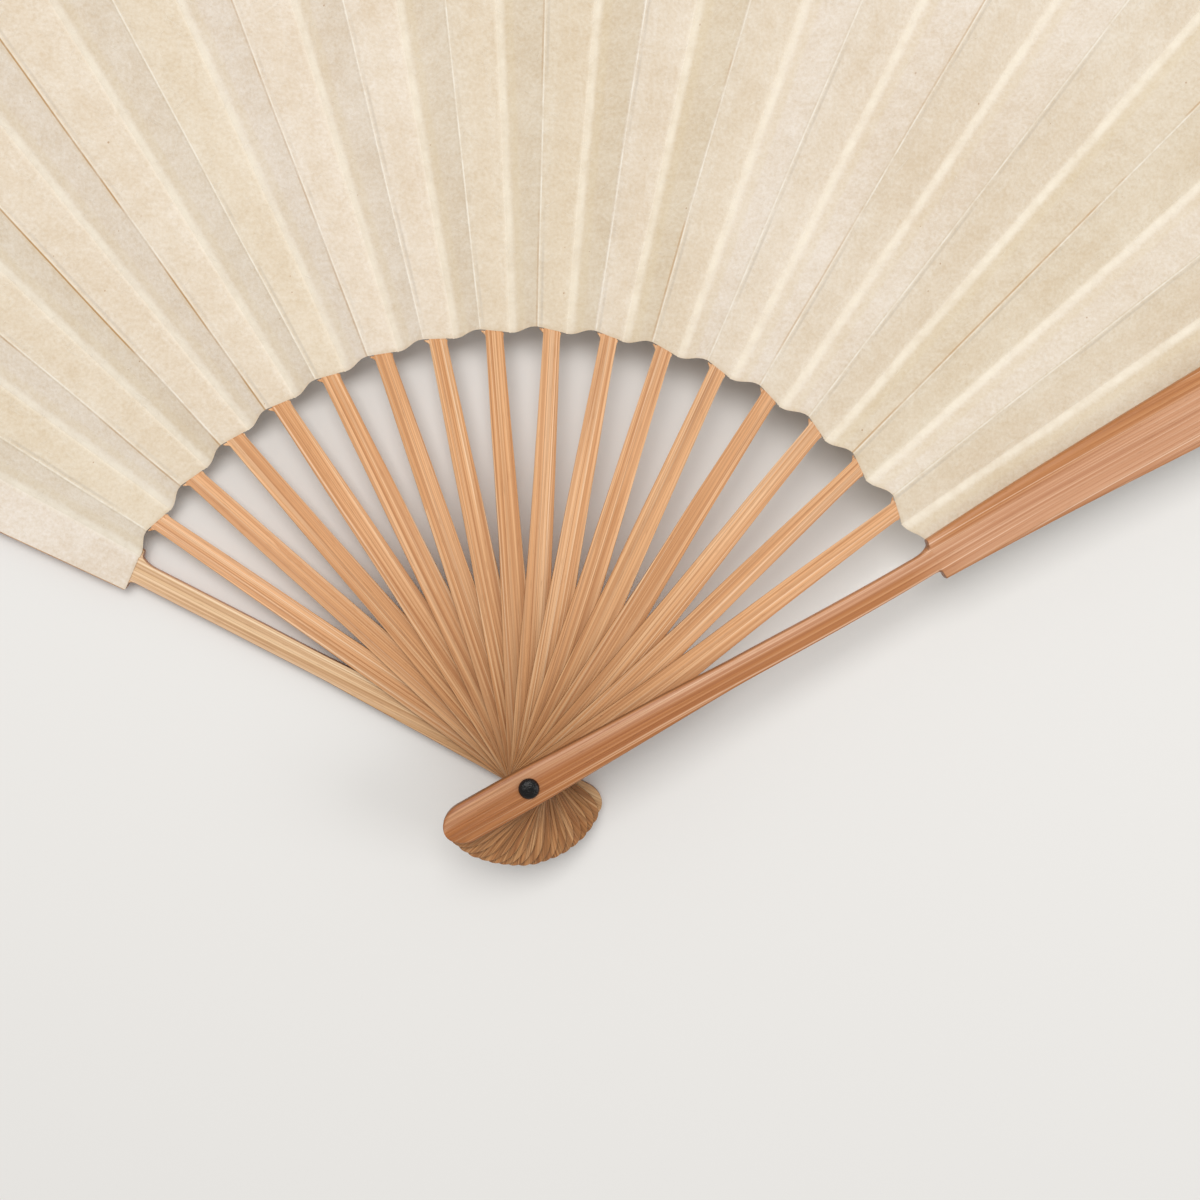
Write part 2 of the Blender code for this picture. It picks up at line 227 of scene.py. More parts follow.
def fold_height(number, radius, side):
    """Height of the fold at the left (1) or right (-1) of a rib's panel, clear of the closed layers."""
    level = leaf_level(number)
    if number in (0, RIB_COUNT + 1):
        return level
    height = level + side * FOLD_DEPTH * radius + wander(radius, number + 200 - 20 * side, 0.02, FOLD_WANDER)
    if side > 0:
        return min(height, FRONT_PANEL_Z - (RIB_COUNT + 1 - number) * FOLD_LAYER)
    return max(height, BACK_PANEL_Z + number * FOLD_LAYER)


def inner_radius(number, side):
    """Measured: the leaf is a little off round, so its inner edge runs outwards towards the front guard."""
    if side > 0:
        return 0.1087 + 0.000031 * (number - 5.5) ** 2
    return 0.1078 + 0.000016 * (number - 3.5) ** 2


def fold_point(number, radius, side):
    """Where a fold lies at a radius, beside its panel's own stick: side is 1 at the left, -1 at the right.

    The fold strays a little in the plane of its own panel, so that all the panels stay parallel when closed.
    """
    inner = inner_radius(number, side)
    loose = 0.3 + 0.7 * smooth(12 * (radius - inner) / (LEAF_OUTER_RADIUS - inner))
    stray = wander(radius, number + 120 - 20 * side, 0.028, FOLD_SWAY) * loose
    crest, valley = (fold_height(number, radius, fold) for fold in (1, -1))
    slope = (crest - valley) / (2 * radius * sin(HALF_PANEL))
    height = crest if side > 0 else valley
    return radius * cos(HALF_PANEL), side * radius * sin(HALF_PANEL) + stray, height + slope * stray


def panel_line(number, radius):
    """Height of a glued panel over its stick's axis at a radius, and its slope across."""
    (_, crest_y, crest_z), (_, valley_y, valley_z) = (fold_point(number, radius, side) for side in (1, -1))
    slope = (crest_z - valley_z) / (crest_y - valley_y)
    return valley_z - slope * valley_y, slope


def stick_sway(number, x):
    """Sideways wander of a rib, none at the rivet or at the tongue's tip."""
    return wander(x, number, 0.045, RIB_SWAY) * smooth((x - 0.03) / 0.05) * smooth((0.3 - x) / 0.1)


def build_mesh(name, points, faces, values, material, grain=None, fibre=None):
    """Mesh with float values for its material, and a grain UV map or fibre places to carry its pattern."""
    mesh = bpy.data.meshes.new(name)
    mesh.from_pydata(points, [], faces)
    if grain is not None:
        loops = np.zeros(len(mesh.loops), np.int32)
        mesh.loops.foreach_get("vertex_index", loops)
        uv = mesh.uv_layers.new(name="grain")
        uv.data.foreach_set("uv", np.asarray(grain, np.float32)[loops].ravel())
    if fibre is not None:
        attribute = mesh.attributes.new("fibre", "FLOAT_VECTOR", "POINT")
        attribute.data.foreach_set("vector", np.asarray(fibre, np.float32).ravel())
    for key, value in values.items():
        attribute = mesh.attributes.new(key, "FLOAT", "POINT")
        attribute.data.foreach_set("value", np.asarray(value, np.float32))
    mesh.materials.append(material)
    shape = bmesh.new()
    shape.from_mesh(mesh)
    bmesh.ops.recalc_face_normals(shape, faces=shape.faces)
    shape.to_mesh(mesh)
    shape.free()
    mesh.polygons.foreach_set("use_smooth", [True] * len(mesh.polygons))
    mesh.set_sharp_from_angle(angle=SHARP_ANGLE)
    mesh.update()
    return mesh


def add_object(name, data, place=(0.0, 0.0, 0.0), turn=(0.0, 0.0, 0.0)):
    added = bpy.data.objects.new(name, data)
    added.location = place
    added.rotation_euler = turn
    bpy.context.scene.collection.objects.link(added)
    return added


def drill(piece, stick):
    """Cuts the rivet's hole through a stick, and gives the hole's rim the stick's material values."""
    angles = [2 * pi * n / HOLE_ROUNDS for n in range(HOLE_ROUNDS)]
    ring = [(STICK_HOLE_RADIUS * cos(angle), STICK_HOLE_RADIUS * sin(angle)) for angle in angles]
    depth = RIVET_FRONT_SEAT_Z + RIVET_FRONT_HEIGHT
    points, faces = loft([[(x, y, z) for x, y in ring] for z in (depth, -0.001)])
    mesh = bpy.data.meshes.new("drill")
    mesh.from_pydata(points, [], faces)
    cutter = add_object("drill", mesh)
    modifier = piece.modifiers.new("hole", "BOOLEAN")
    modifier.operation = "DIFFERENCE"
    modifier.solver = "EXACT"
    modifier.object = cutter
    bpy.context.view_layer.update()
    evaluated = piece.evaluated_get(bpy.context.evaluated_depsgraph_get())
    drilled = bpy.data.meshes.new_from_object(evaluated)
    piece.modifiers.clear()
    old = piece.data
    drilled.name = old.name + "_drilled"
    piece.data = drilled
    bpy.data.meshes.remove(old)
    bpy.data.objects.remove(cutter)
    bpy.data.meshes.remove(mesh)
    drilled.set_sharp_from_angle(angle=SHARP_ANGLE)
    for vertex in drilled.vertices:
        x, y, z = vertex.co
        if hypot(x, y) < STICK_HOLE_RADIUS + 0.00005:
            place, values = stick_point(x, y, z - stick["pivot_z"], stick, stick["head_half"])
            drilled.attributes["fibre"].data[vertex.index].vector = place
            for key, value in values.items():
                drilled.attributes[key].data[vertex.index].value = value


def belts(first, rings, count):
    """Faces between rings of count points that follow one another from the first point on."""
    return [(base + n, base + count + n, base + count + (n + 1) % count, base + (n + 1) % count)
            for base in range(first, first + (rings - 1) * count, count) for n in range(count)]


def loft(rings):
    """Points and faces of a closed solid through rings that all have the same number of points."""
    count = len(rings[0])
    faces = belts(0, len(rings), count)
    faces.append(tuple(range(count)))
    faces.append(tuple(reversed(range((len(rings) - 1) * count, len(rings) * count))))
    return [p for ring in rings for p in ring], faces


def stick_point(x, y, z, stick, half, edge=0.0, end=0.0):
    """Where a point of a stick lies in the grain, and the values that its material reads there."""
    tone = stick["tone"]
    inner = stick["inner_z"] is not None and abs(z - stick["inner_z"]) < 0.00001
    values = {"edge": edge, "end": end, "inner": float(inner), "tone": tone, "along": x,
              "across": stick["leaf_side"] * y / half}
    return (x + tone * 3.1, y + tone * 0.71, z + tone * 0.37), values


def stick_values(sections, stick, edge, ends):
    """Fibre places and material values for a lofted stick, from its sections before it is bent."""
    found = []
    for (x, section), end in zip(sections, ends):
        half = max(abs(y) for y, _ in section)
        found += [stick_point(x, y, z, stick, half, worn, end if worn > 0.5 else 0.0)
                  for (y, z), worn in zip(section, edge)]
    values = {key: [point[key] for _, point in found] for key in found[0][1]}
    return [place for place, _ in found], values


def add_stick(name, azimuth, stick, rings, sections, edge, ends, material):
    """A stick through its rings, drilled, with its grain laid out as if it were straight."""
    points, faces = loft(rings)
    fibre, values = stick_values(sections, stick, edge, ends)
    mesh = build_mesh(name + "_bamboo", points, faces, values, material, fibre=fibre)
    piece = add_object(name + "_bamboo", mesh, turn=(0.0, 0.0, azimuth))
    drill(piece, stick)
    return piece


def rib_half_width(x, head_length, head_half):
    if x < -head_length + RIB_HEAD_ROUNDING:
        return head_half * arc(1.0 - (x + head_length) / RIB_HEAD_ROUNDING)
    body = interpolate(x, [(0.0, head_half), (RIB_NECK_RADIUS, RIB_NECK_HALF), (BEND_END, RIB_LEAF_HALF)])
    return body - RIB_NECK_EASING * sin(pi * smooth(x / BEND_END))


def rib_section(half_left, half_right, thick, bevel):
    """Flat faces with small bevels, as (y, z) from the lower right corner round: left is the crest's side."""
    bevel = min(bevel, half_right * 0.4, thick * 0.3)
    top = thick / 2
    left, right = half_left - bevel, half_right - bevel
    return [
        (-right, -top), (-right * 0.8, -top), (left * 0.8, -top), (left, -top),
        (half_left, -top + bevel), (half_left, top - bevel),
        (left, top), (left * 0.8, top), (-right * 0.8, top), (-right, top),
        (-half_right, top - bevel), (-half_right, -top + bevel),
    ]


def rib_places(head_length, root):
    """Stations along a rib: close together round the head and at the flare, further apart elsewhere."""
    head = [-head_length + RIB_HEAD_ROUNDING * (1 - cos(angle)) for angle in quarter_turn(11)]
    head[0] = -head_length + HEAD_START
    near = [-0.011, -0.0075, -0.0035, 0.0, 0.0035, 0.0075, 0.011, BEND_START]
    neck = list(np.linspace(BEND_START + 0.0025, root - FLARE_LENGTH - 0.001, 36))
    flare = [root - FLARE_LENGTH * (1 - n / 6) for n in range(7)]
    tongue = [root + 0.00005] + list(np.linspace(root + 0.003, TONGUE_TIP, 44))
    return head + near + neck + flare + tongue


def make_rib(number, material):
    name = body_name(number)
    crest_radius, valley_radius = (inner_radius(number, side) for side in (1, -1))
    root = (crest_radius + valley_radius) / 2 * cos(HALF_PANEL) - RIB_END_GAP
    lean = (crest_radius - valley_radius) / (2 * root * sin(HALF_PANEL))
    pivot_z = FIRST_RIB_PIVOT_Z + (number - 1) * RIB_PITCH
    head_half = RIB_HEAD_HALF * (1.0 + SEED.uniform(-0.02, 0.02))
    head_length = RIB_HEAD_LENGTH + RIB_HEAD_GROWTH * smooth((number - 11) / 5)
    head_length += wander(number, 3, 1.7, 0.0003)
    stick = {"tone": SEED.uniform(0.0, 1.0), "leaf_side": 1.0, "pivot_z": pivot_z, "head_half": head_half,
             "inner_z": None}
    sections, rings, ends = [], [], []
    for x in rib_places(head_length, root):
        into_leaf = smooth((x - BEND_START) / (BEND_END - BEND_START))
        height, slope = panel_line(number, max(x, root))
        middle = pivot_z + (height - pivot_z) * into_leaf
        twist = atan(slope) * smooth((x - TWIST_START) / (root - TWIST_START))
        sway = stick_sway(number, x)
        if x <= root:
            half = rib_half_width(x, head_length, head_half)
            left, right = (half + wander(x, number + lane, 0.010, SIDE_WANDER) for lane in (40, 340))
            flare = smooth((x - root + FLARE_LENGTH) / FLARE_LENGTH)
            thick = RIB_THICKNESS + (RIB_LEAF_THICKNESS - RIB_THICKNESS) * into_leaf
            section = rib_section(left + CREST_FLARE * flare, right + VALLEY_FLARE * flare, thick, RIB_BEVEL)
        else:
            half = tongue_half(x)
            section = rib_section(half, half, TONGUE_THICKNESS, TONGUE_BEVEL)
        skew = lean * smooth((x - root + SKEW_BEFORE) / SKEW_BEFORE)
        skew *= smooth((root + SKEW_AFTER - x) / SKEW_AFTER)
        ring = []
        for y, z in section:
            turned_y = y * cos(twist) - z * sin(twist)
            turned_z = y * sin(twist) + z * cos(twist)
            ring.append((x + skew * turned_y, turned_y + sway, turned_z + middle + tan(twist) * sway))
        rings.append(ring)
        sections.append((x, section))
        ends.append(0.5 if x < -head_length + 0.0006 else 0.0)
    edge = [0.6, 0.0, 0.0, 0.6, 1.0, 1.0] * 2
    piece = add_stick(name, rib_azimuth(number), stick, rings, sections, edge, ends, material)
    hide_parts(name)
    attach(piece, name)


def guard_wide_half(x, shoulder):
    """Half width of a guard beyond its shoulder."""
    return interpolate(x, [(shoulder + SHOULDER_SLANT, GUARD_SHOULDER_HALF), (GUARD_TIP, GUARD_TIP_HALF)])


def guard_half_width(x, guard, cove):
    """Half width of a guard on one side; cove is the length and rise of the hollow at its shoulder."""
    length, rise = cove
    head_half, shoulder, throat = guard["head_half"], guard["shoulder"], guard["throat_half"]
    rounding = head_half * GUARD_HEAD_ROUNDING
    if x < -guard["head_length"] + rounding:
        return head_half * arc(1.0 - (x + guard["head_length"]) / rounding)
    if x < shoulder:
        hollow = max(x - shoulder + length, 0.0) / length
        neck = interpolate(x, [(0.0, head_half), (GUARD_NECK_RADIUS, guard["neck_half"]), (shoulder, throat)])
        return neck + rise * (1.0 - arc(hollow))
    if x < shoulder + SHOULDER_SLANT:
        step = GUARD_SHOULDER_HALF - throat - rise
        return throat + rise + step * arc(1.0 - (x - shoulder) / SHOULDER_SLANT)
    wide = guard_wide_half(x, shoulder)
    if x > GUARD_TIP - GUARD_TIP_ROUNDING:
        wide -= GUARD_TIP_ROUNDING * (1.0 - arc((x - GUARD_TIP + GUARD_TIP_ROUNDING) / GUARD_TIP_ROUNDING))
    return wide


def guard_section(plus_half, minus_half, outward):
    """Flat inner face with a tiny bevel, and an outer face that rolls down over its edges."""

    def side(half):
        crown = min(CROWN_WIDTH, half * CROWN_MOST_SHARE)
        drop = CROWN_DROP * crown / CROWN_WIDTH
        bevel = min(GUARD_BEVEL, half * 0.2)
        roll = [(half - crown * (1 - cos(angle)), GUARD_THICKNESS - drop * (1 - sin(angle)))
                for angle in quarter_turn(6)]
        return [(half - bevel, 0.0), (half, bevel)] + roll

    left = [(-y, z) for y, z in reversed(side(minus_half))]
    return [(y, z * outward) for y, z in side(plus_half) + left]


def guard_places(guard):
    """Stations along a guard: close together round the head, in the cove, at the shoulder and at the tip."""
    head_length, shoulder, cove_length = guard["head_length"], guard["shoulder"], LEAF_SIDE_COVE[0]
    rounding = guard["head_half"] * GUARD_HEAD_ROUNDING
    head = [-head_length + rounding * (1 - cos(angle)) for angle in quarter_turn(13)]
    head[0] = -head_length + HEAD_START
    neck = list(np.linspace(-0.0135, shoulder - cove_length - 0.001, 46))
    cove = [shoulder - cove_length * (1 - n / 18) ** 1.7 for n in range(19)]
    slant = [shoulder + SHOULDER_SLANT * t for t in (0.08, 0.25, 0.5, 0.75, 1.0)]
    wide = list(np.linspace(shoulder + 0.002, GUARD_TIP - GUARD_TIP_ROUNDING - 0.001, 60))
    tip = [GUARD_TIP - GUARD_TIP_ROUNDING * (1 - sin(angle)) for angle in quarter_turn(10)]
    return head + neck + cove + slant + wide + tip


def make_guard(guard, material):
    name, outward, shoulder = guard["name"], guard["outward"], guard["shoulder"]
    stick = {"tone": SEED.uniform(0.35, 0.65), "leaf_side": outward, "pivot_z": guard["pivot_z"],
             "head_half": guard["head_half"], "inner_z": 0.0}
    sections, rings, ends = [], [], []
    for x in guard_places(guard):
        into_leaf = smooth((x - BEND_START) / (BEND_END - BEND_START))
        inner_z = guard["pivot_z"] + (guard["leaf_z"] - guard["pivot_z"]) * into_leaf
        sway = wander(x, 20 + outward, 0.06, GUARD_SWAY) * smooth((x - 0.03) / 0.05)
        sway += guard["bow"] * exp(-((x - GUARD_BOW_PLACE) / GUARD_BOW_REACH) ** 2)
        halves = [guard_half_width(x, guard, cove) + wander(x, lane + outward, 0.015, SIDE_WANDER)
                  for cove, lane in ((LEAF_SIDE_COVE, 60), (OUTER_SIDE_COVE, 80))]
        section = guard_section(*(max(half, GUARD_LEAST_HALF) for half in halves[::outward]), outward)
        rings.append([(x, y + sway, z + inner_z) for y, z in section])
        sections.append((x, section))
        at_shoulder = shoulder - 0.0007 < x < shoulder + SHOULDER_SLANT * 0.9
        ends.append(1.0 if at_shoulder else 0.6 if x < -guard["head_length"] + 0.0004 else 0.0)
    side = [0.3, 1.0] + [1.0 - n / 7 for n in range(7)]
    piece = add_stick(name, guard["azimuth"], stick, rings, sections, side + side[::-1], ends, material)
    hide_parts(name)
    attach(piece, name)


def make_rivet(material):
    """Turned horn pin: a domed head in front, a shaft through every stick and a flatter head behind."""
    rounds = 64
    seat, head_radius = RIVET_FRONT_SEAT_Z, RIVET_HEAD_RADIUS
    dome = [(head_radius * sin(angle),
             seat + RIVET_RIM_HEIGHT + (RIVET_FRONT_HEIGHT - RIVET_RIM_HEIGHT) * cos(angle))
            for angle in quarter_turn(14, 1)]
    dome += [(head_radius, seat + RIVET_BEVEL), (head_radius - RIVET_BEVEL, seat)]
    shaft = [(RIVET_SHAFT_RADIUS, seat), (RIVET_SHAFT_RADIUS, RIVET_REAR_HEIGHT)]
    rear = [(head_radius - RIVET_BEVEL, RIVET_REAR_HEIGHT), (head_radius, RIVET_REAR_HEIGHT - RIVET_BEVEL)]
    rear += [(RIVET_REAR_FACE_RADIUS + (head_radius - RIVET_REAR_FACE_RADIUS) * cos(angle),
              (RIVET_REAR_HEIGHT - 0.0001) * (1 - sin(angle))) for angle in quarter_turn(6, 1)]
    profile = dome + shaft + rear
    points = [(0.0, 0.0, seat + RIVET_FRONT_HEIGHT)]
    for radius, z in profile:
        for n in range(rounds):
            angle = 2 * pi * n / rounds
            uneven = 0.0
            if z > seat + 0.0001:
                spot = Vector((radius * cos(angle), radius * sin(angle), z)) * 900
                uneven = RIVET_DENTS * (noise.noise(spot) - 0.4) * (radius / head_radius)
            reach = radius + uneven * 0.4
            points.append((reach * cos(angle), reach * sin(angle), z + min(uneven, 0.0)))
    points.append((0.0, 0.0, 0.0))
    last, last_ring = len(points) - 1, len(points) - 1 - rounds
    faces = [(0, 1 + n, 1 + (n + 1) % rounds) for n in range(rounds)]
    faces += belts(1, len(profile), rounds)
    faces += [(last, last_ring + (n + 1) % rounds, last_ring + n) for n in range(rounds)]
    grain = [p[:2] for p in points]
    piece = add_object("rivet_horn", build_mesh("rivet_horn", points, faces, {}, material, grain=grain))
    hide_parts("rivet")
    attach(piece, "back_guard")


def body_name(number):
    if number == 0:
        return "back_guard"
    if number == RIB_COUNT + 1:
        return "front_guard"
    return f"rib_{number:02d}"


def fold_radius(inner, share):
    return inner + (LEAF_OUTER_RADIUS - inner) * share


def tongue_half(x):
    return interpolate(x, [(TONGUE_ROOT, TONGUE_ROOT_HALF), (TONGUE_TIP, TONGUE_TIP_HALF)])


def panel_row(number, share):
    """Points across a glued panel from its crest lip on the left to its valley lip on the right.

    Each is (x, y, z, half thickness, tongue, crest, valley), along the stick. Crest and valley are the
    distances to the two folds, above zero on the glued panel and below zero on the free panels beside it.
    """
    first, last = number == 0, number == RIB_COUNT + 1
    (crest_x, crest_y, crest_z), (valley_x, valley_y, valley_z) = (
        fold_point(number, fold_radius(inner_radius(number, side), share), side) for side in (1, -1))
    slope = (crest_z - valley_z) / (crest_y - valley_y)
    panel_half, lip_half = RIB_PANEL_THICKNESS / 2, PLEAT_THICKNESS / 2
    row = []

    def along(y):
        return valley_x + (crest_x - valley_x) * (y - valley_y) / (crest_y - valley_y)

    def strip(start_x, start_y, end_x, end_y):
        return list(zip(np.linspace(start_x, end_x, GUARD_PANEL_STEPS + 1),
                        np.linspace(start_y, end_y, GUARD_PANEL_STEPS + 1)))

    if first:
        outer_x = fold_radius(BACK_PANEL_CORNER, share)
        outer_y = guard_wide_half(outer_x, BACK_GUARD["shoulder"]) - PANEL_INSET
        row += [(x, y, crest_z, lip_half, 0.0, FAR_FROM_FOLDS, y - valley_y + FOLD_ROUND)
                for x, y in strip(outer_x, outer_y, valley_x, valley_y)[:-1]]
    else:
        for place in CREST_PLACES:
            fall = 0.4 * max(place, 0.0) if last else slope * hypot(place, CREST_ROUND)
            half = lip_half if place > 0 or last else panel_half
            row.append((along(crest_y + min(place, 0.0)), crest_y + place, crest_z - fall, half, 0.0,
                        -place, crest_y + place - valley_y + FOLD_ROUND))
    if not first and not last:
        middle_x = (crest_x + valley_x) / 2
        sway = stick_sway(number, middle_x)
        ends = 1.0 - smooth((middle_x - TONGUE_TIP + 0.002) / 0.004)
        for side, outside in TONGUE_PLACES:
            y = side * (tongue_half(middle_x) + outside) + sway
            uneven = wander(middle_x + y * 3, number + 260, 0.011, PANEL_WANDER)
            z = valley_z + slope * (y - valley_y) + uneven
            raised = (1.0 if outside < 0 or side == 0 else 0.75 if outside < 0.0003 else 0.0) * ends
            row.append((along(y), y, z, panel_half + EMBOSSING * raised, raised, crest_y - y,
                        y - valley_y + FOLD_ROUND))
    if last:
        outer_x = fold_radius(FRONT_PANEL_CORNER, share)
        outer_y = PANEL_INSET - guard_wide_half(outer_x, FRONT_GUARD["shoulder"])
        row += [(x, y, valley_z, lip_half, 0.0, crest_y - y, FAR_FROM_FOLDS)
                for x, y in strip(crest_x, crest_y, outer_x, outer_y)[1:]]
    else:
        dip = -EDGE_DIP * (1.0 - smooth(share * 6))
        for place in VALLEY_PLACES:
            lift = VALLEY_CURVE * place ** 2 - VALLEY_FALL * place if place > 0 else -slope * place
            if first:
                lift = max(lift, 0.0)
            half = lip_half if place > 0 or first else panel_half
            bow = dip * sin(pi * max(place, 0.0) / (VALLEY_LIP * 1.3))
            row.append((valley_x + bow, valley_y - place, valley_z + lift, half, 0.0,
                        crest_y - valley_y + place, FOLD_ROUND - place))
    return row


def turned(point, azimuth):
    x, y, z = point
    return x * cos(azimuth) - y * sin(azimuth), x * sin(azimuth) + y * cos(azimuth), z


def rim_faces(rim, lower):
    """Faces that close a sheet round its rim, where its lower points come later by a fixed count."""
    return [(here, lower + here, lower + after, after) for here, after in zip(rim, rim[1:] + rim[:1])]


def sheet_faces(rows, columns):
    """Faces of a closed thin sheet: upper points first, then lower points, row by row."""
    lower = rows * columns
    faces = []
    for r in range(rows - 1):
        for c in range(columns - 1):
            a, b = r * columns + c, (r + 1) * columns + c
            faces.append((a, a + 1, b + 1, b))
            faces.append((lower + a, lower + b, lower + b + 1, lower + a + 1))
    rim = list(range(columns)) + [r * columns + columns - 1 for r in range(1, rows)]
    rim += [(rows - 1) * columns + c for c in range(columns - 2, -1, -1)]
    rim += [r * columns for r in range(rows - 2, 0, -1)]
    return faces + rim_faces(rim, lower)


def add_paper(name, node, cells, faces, tone, stain, material, azimuth=0.0):
    """A thin sheet through cells: (x, y, z, half thickness, tongue, crest, valley, inside)."""
    upper = [(x, y, z + half) for x, y, z, half, *_ in cells]
    lower = [(x, y, z - half) for x, y, z, half, *_ in cells]
    values = {"tone": [tone] * (2 * len(cells)), "stain": [stain] * (2 * len(cells))}
    for place, key in enumerate(("tongue", "crest", "valley", "inside"), 4):
        values[key] = [cell[place] for cell in cells] * 2
    grain = [turned(p, azimuth)[:2] for p in upper] * 2
    mesh = build_mesh(name, upper + lower, faces, values, material, grain=grain)
    piece = add_object(name, mesh, turn=(0.0, 0.0, azimuth))
    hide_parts(node)
    return piece


def make_glued_panel(number, material):
    """The leaf's panel that is glued round a rib's tongue, or to a guard's inner face."""
    azimuth = rib_azimuth(number)
    grid = [[(*cell, share * LEAF_DEPTH) for cell in panel_row(number, share)] for share in LEAF_SHARES]
    # Random tone, kept lower on the glued rib panels as painted shade; the flat guard panels get the highest.
    tone = 1.0 if number in (0, RIB_COUNT + 1) else SEED.uniform(0.0, 0.8)
    stain = STAINS.get(number, 0.0)
    guard_panels = {0: "leaf_back_panel", RIB_COUNT + 1: "leaf_front_panel"}
    node = guard_panels.get(number, f"leaf_rib_panel_{number:02d}")
    cells = [cell for row in grid for cell in row]
    faces = sheet_faces(LEAF_ROWS, len(grid[0]))
    piece = add_paper(node + "_paper", node, cells, faces, tone, stain, material, azimuth)
    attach(piece, body_name(number))
    left, right = ([turned(row[place][:3], azimuth) for row in grid] for place in (0, -1))
    return {"left": left, "right": right, "stain": stain}


def half_panel_faces(rows, extra):
    """Faces of a thin sheet between two lines of points, with extra points along its inner edge."""
    count = 2 * rows + extra
    edge = [0] + list(range(2 * rows, count)) + [1]
    middle = len(edge) // 2
    faces = [(a, b, 2) for a, b in zip(edge[:middle], edge[1:middle + 1])]
    faces += [(edge[middle], 3, 2)]
    faces += [(a, b, 3) for a, b in zip(edge[middle:], edge[middle + 1:])]
    faces += [(2 * r, 2 * r + 1, 2 * r + 3, 2 * r + 2) for r in range(1, rows - 1)]
    faces += [tuple(count + corner for corner in reversed(face)) for face in faces]
    rim = edge + [2 * r + 1 for r in range(1, rows)] + [2 * r for r in range(rows - 1, 0, -1)]
    return faces + rim_faces(rim, count)


def edge_point(first, second, share, wave):
    """A point of a free panel's inner edge, which swings in a shallow S over the two halves."""
    x, y = (a + (b - a) * share for a, b in zip(first[:2], second[:2]))
    reach = 1.0 - wave * sin(pi * share) / hypot(x, y)
    return x * reach, y * reach, first[2] + (second[2] - first[2]) * smooth(share)


def make_free_half(name, node, lines, wave, distances, tone, stain, material):
    """Half of a free panel: flat facets between a line along one glued panel and the pleat's own middle line,
    with points of its inner edge between the lines. It is built in place at the open pose and not attached to
    a body.
    """
    rows = len(lines[0])
    points = [lines[line][row] for row in range(rows) for line in (0, 1)]
    points += [edge_point(points[0], points[1], share, wave) for share in EDGE_SHARES]
    places = [distances[line][row] for row in range(rows) for line in (0, 1)]
    places += [tuple(a + (b - a) * share for a, b in zip(places[0], places[1])) for share in EDGE_SHARES]
    inside = [share * LEAF_DEPTH for share in LEAF_SHARES for _ in (0, 1)] + [0.0] * len(EDGE_SHARES)
    cells = [(*point, PLEAT_THICKNESS / 2, 0.0, *place, depth)
             for point, place, depth in zip(points, places, inside)]
    piece = add_paper(name, node, cells, half_panel_faces(rows, len(EDGE_SHARES)), tone, stain, material)
    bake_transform(piece)


def middle_point(gap, near, far):
    """A point of a free panel's middle line, half way between the glued panels over and under it."""
    x, y, z = ((a + b) / 2 for a, b in zip(near, far))
    if gap in (1, RIB_COUNT + 1):
        return x, y, z + MIDDLE_LIFT
    below, above = (panel_line(number, hypot(x, y))[0] for number in (gap - 1, gap))
    return x, y, (below + above) / 2 - MIDDLE_SAG


def make_free_panel(gap, left_panel, right_panel, material):
    """The free panel between two glued ones, as two halves that meet on its middle line."""
    near, far = left_panel["right"], right_panel["left"]
    middle = [middle_point(gap, p, q) for p, q in zip(near, far)]
    width = [dist(p, q) for p, q in zip(near, far)]
    node, pleat = f"leaf_pleat_{gap:02d}", f"pleat_{gap:02d}"
    tone = SEED.uniform(0.0, 1.0)
    stain = right_panel["stain"]
    past_valley = VALLEY_LIP - FOLD_ROUND
    at_near, at_middle, at_far = ([(-CREST_LIP - w * (1 - share), -past_valley - w * share) for w in width]
                                  for share in (0.0, 0.5, 1.0))
    make_free_half(node + "_paper_valley_side", node, (near, middle), EDGE_WAVE, (at_near, at_middle),
                   tone, stain, material)
    make_free_half(node + "_paper_crest_side", node, (middle, far), -EDGE_WAVE, (at_middle, at_far),
                   tone, stain, material)


def make_leaf(material):
    panels = [make_glued_panel(number, material) for number in range(RIB_COUNT + 2)]
    for gap in range(1, RIB_COUNT + 2):
        make_free_panel(gap, panels[gap - 1], panels[gap], material)


